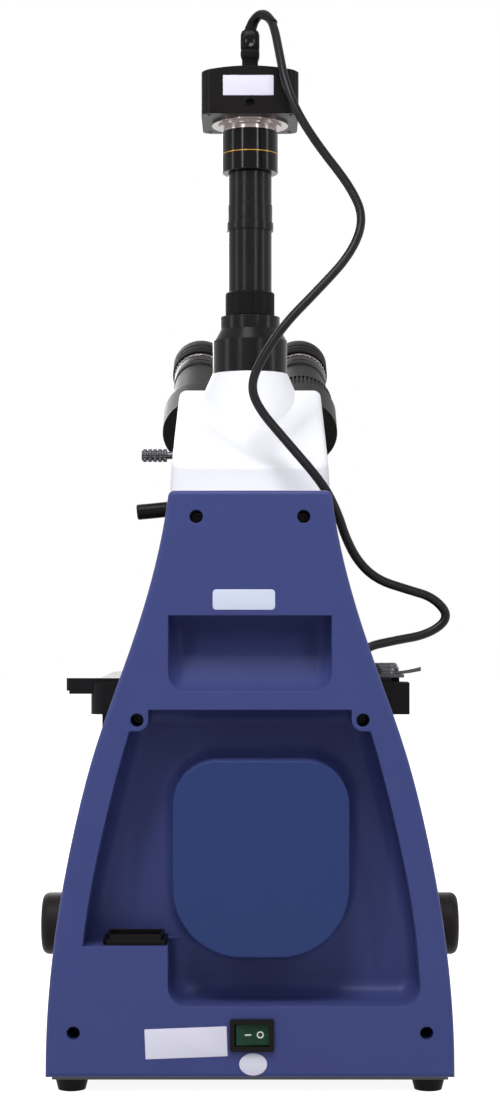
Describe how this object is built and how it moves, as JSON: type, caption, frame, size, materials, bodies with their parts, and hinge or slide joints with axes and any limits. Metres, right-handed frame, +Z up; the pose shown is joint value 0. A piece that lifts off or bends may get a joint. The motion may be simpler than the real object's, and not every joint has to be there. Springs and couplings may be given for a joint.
{
  "type": "trinocular microscope",
  "caption": "Upright microscope with a mechanical stage, turning nosepiece, binocular head with folding arms, and a camera and its lead on the vertical phototube.",
  "frame": {"origin": "on the table, under the middle of the stand's outline; the optical axis rises from it", "axes": "+Z up; the user's side is -Y and the back panel faces +Y; +X is at the user's right"},
  "size_m": [0.2173, 0.3558, 0.5496],
  "materials": {
    "blue_cover": "fine-textured satin",
    "white_casting": "white enamel, satin",
    "black_metal": "black anodised, satin",
    "black_plastic": "fine-textured",
    "black_rubber": "matt",
    "sheet_steel": "zinc plated",
    "steel": "ground",
    "dark_screws": "black oxide",
    "brass_parts": "turned",
    "silver_aluminium": "satin",
    "green_switch": "translucent, glossy",
    "optic_glass": "polished",
    "circuit_module": "potted board",
    "cord_sheath": "satin"
  },
  "bodies": {
    "stand": {"base_casting": "white_casting", "arm_casting": "white_casting", "back_panel": "blue_cover", "base_plate": "sheet_steel", "rubber_feet": "black_rubber", "panel_screws": "dark_screws", "mains_inlet": "black_plastic", "switch_bezel": "black_plastic", "field_collar": "black_metal", "field_lens": "optic_glass", "lamp_module": "silver_aluminium", "power_board": "circuit_module", "focus_guide": "steel", "nosepiece_mount": "silver_aluminium", "lead_cord": "cord_sheath", "cord_coil": "cord_sheath", "coil_tie": "black_plastic", "far_plug": "black_plastic"},
    "rocker": {"power_rocker": "green_switch"},
    "dial": {"brightness_dial": "black_plastic"},
    "coarse": {"focus_pinion": "brass_parts", "coarse_knobs": "black_plastic"},
    "fine": {"fine_knobs": "black_plastic"},
    "lift": {"focus_slide": "black_metal", "focus_rack": "brass_parts", "stage_bracket": "black_metal", "stage_carrier": "black_metal", "y_rack": "brass_parts"},
    "plate": {"stage_plate": "black_metal", "x_guide": "black_metal"},
    "y_knob": {"y_drive": "black_plastic"},
    "bar": {"cross_bar": "black_metal", "slide_holder": "silver_aluminium"},
    "x_knob": {"x_drive": "black_plastic"},
    "finger": {"slide_finger": "silver_aluminium"},
    "condenser": {"condenser_carrier": "black_metal", "condenser": "black_metal"},
    "condenser_focus": {"condenser_knob": "black_metal"},
    "iris": {"iris_lever": "black_metal"},
    "turret": {"nosepiece_turret": "black_metal", "scan_objective": "silver_aluminium", "low_objective": "silver_aluminium", "high_objective": "silver_aluminium", "oil_objective": "silver_aluminium"},
    "head": {"head_housing": "white_casting", "hinge_pin": "black_metal", "photo_port": "black_metal"},
    "clamp": {"head_clamp": "black_metal"},
    "rod": {"beam_rod": "silver_aluminium"},
    "right_arm": {"right_wing": "black_metal", "right_eyepiece": "black_metal"},
    "left_arm": {"left_wing": "black_metal", "left_eyepiece": "black_metal"},
    "diopter": {"diopter_ring": "black_metal"},
    "camera": {"camera_tube": "black_metal", "camera_adapter": "black_metal", "mount_flange": "silver_aluminium", "camera_body": "black_metal", "lead_plug": "black_plastic"},
    "ring": {"tube_clamp_ring": "black_metal"}
  },
  "joints": [
    {"name": "power_switch", "type": "hinge", "parent": "stand", "child": "rocker", "pos_m": [-0.0009, 0.13, 0.0286], "axis": [0, 0, 1], "range_deg": [-12, 0]},
    {"name": "brightness", "type": "hinge", "parent": "stand", "child": "dial", "pos_m": [-0.092, -0.012, 0.028], "axis": [1, 0, 0], "range_deg": [-135, 135]},
    {"name": "stage_lift", "type": "slide", "parent": "stand", "child": "lift", "axis": [0, 0, 1], "range_m": [-0.02, 0.0025]},
    {"name": "coarse_focus", "type": "hinge", "parent": "stand", "child": "coarse", "pos_m": [0, 0.06, 0.071], "axis": [1, 0, 0], "range_deg": [-23, 180]},
    {"name": "fine_focus", "type": "hinge", "parent": "stand", "child": "fine", "pos_m": [0, 0.06, 0.071], "axis": [1, 0, 0], "continuous": true},
    {"name": "stage_y", "type": "slide", "parent": "lift", "child": "plate", "axis": [0, 1, 0], "range_m": [-0.018, 0.012]},
    {"name": "stage_y_knob", "type": "hinge", "parent": "plate", "child": "y_knob", "pos_m": [0.0624, 0.044, 0.16], "axis": [0, 0, 1], "range_deg": [-185, 123.5]},
    {"name": "stage_x", "type": "slide", "parent": "plate", "child": "bar", "axis": [1, 0, 0], "range_m": [-0.024, 0.034]},
    {"name": "stage_x_knob", "type": "hinge", "parent": "plate", "child": "x_knob", "pos_m": [0.0624, 0.044, 0.14], "axis": [0, 0, 1], "range_deg": [-348.5, 246]},
    {"name": "slide_clamp", "type": "hinge", "parent": "bar", "child": "finger", "pos_m": [-0.068, 0.04, 0.198], "axis": [0, 0, 1], "range_deg": [-25, 0], "stiffness_Nm_per_rad": 0.04, "springref_deg": 6.88},
    {"name": "condenser_lift", "type": "slide", "parent": "lift", "child": "condenser", "axis": [0, 0, 1], "range_m": [-0.02, 0]},
    {"name": "condenser_focus", "type": "hinge", "parent": "lift", "child": "condenser_focus", "pos_m": [0, 0.0373, 0.14], "axis": [1, 0, 0], "range_deg": [-0.5, 328]},
    {"name": "iris", "type": "hinge", "parent": "condenser", "child": "iris", "pos_m": [0, 0, 0.133], "axis": [0, 0, 1], "range_deg": [-30, 30]},
    {"name": "nosepiece", "type": "hinge", "parent": "stand", "child": "turret", "pos_m": [0, 0.02054, 0.24807], "axis": [0, -0.2079, 0.9781], "continuous": true},
    {"name": "head_swivel", "type": "hinge", "parent": "stand", "child": "head", "pos_m": [0, 0, 0.288], "axis": [0, 0, 1], "range_deg": [-90, 90], "deforming": ["lead_cord"]},
    {"name": "head_lock", "type": "hinge", "parent": "stand", "child": "clamp", "pos_m": [0.0365, 0.012, 0.284], "axis": [0.9954, 0, -0.0958], "range_deg": [-45, 45]},
    {"name": "beam_selector", "type": "slide", "parent": "head", "child": "rod", "axis": [1, 0, 0], "range_m": [0, 0.012]},
    {"name": "eye_spacing", "type": "hinge", "parent": "head", "child": "right_arm", "pos_m": [0, -0.04219, 0.30589], "axis": [0, -0.866, 0.5], "range_deg": [-40.6, 7.6]},
    {"name": "eye_spacing_left", "type": "hinge", "parent": "head", "child": "left_arm", "pos_m": [0, -0.04219, 0.30589], "axis": [0, -0.866, 0.5], "range_deg": [-7.6, 40.6]},
    {"name": "diopter", "type": "hinge", "parent": "left_arm", "child": "diopter", "pos_m": [-0.0285, -0.03, 0.327], "axis": [0, -0.866, 0.5], "range_deg": [-40, 40]},
    {"name": "camera_turn", "type": "hinge", "parent": "head", "child": "camera", "pos_m": [0, 0, 0.39], "axis": [0, 0, 1], "range_deg": [-90, 90], "deforming": ["lead_cord"]},
    {"name": "tube_lock", "type": "hinge", "parent": "head", "child": "ring", "pos_m": [0, 0, 0.393], "axis": [0, 0, 1], "range_deg": [0, 120]}
  ],
  "couplings": [
    {"joint": "coarse_focus", "follows": "stage_lift", "rad_per_m": -156.25},
    {"joint": "stage_y_knob", "follows": "stage_y", "rad_per_m": 178.57},
    {"joint": "stage_x_knob", "follows": "stage_x", "rad_per_m": -178.57},
    {"joint": "condenser_focus", "follows": "condenser_lift", "rad_per_m": -285.71},
    {"joint": "eye_spacing_left", "follows": "eye_spacing", "ratio": -1}
  ]
}
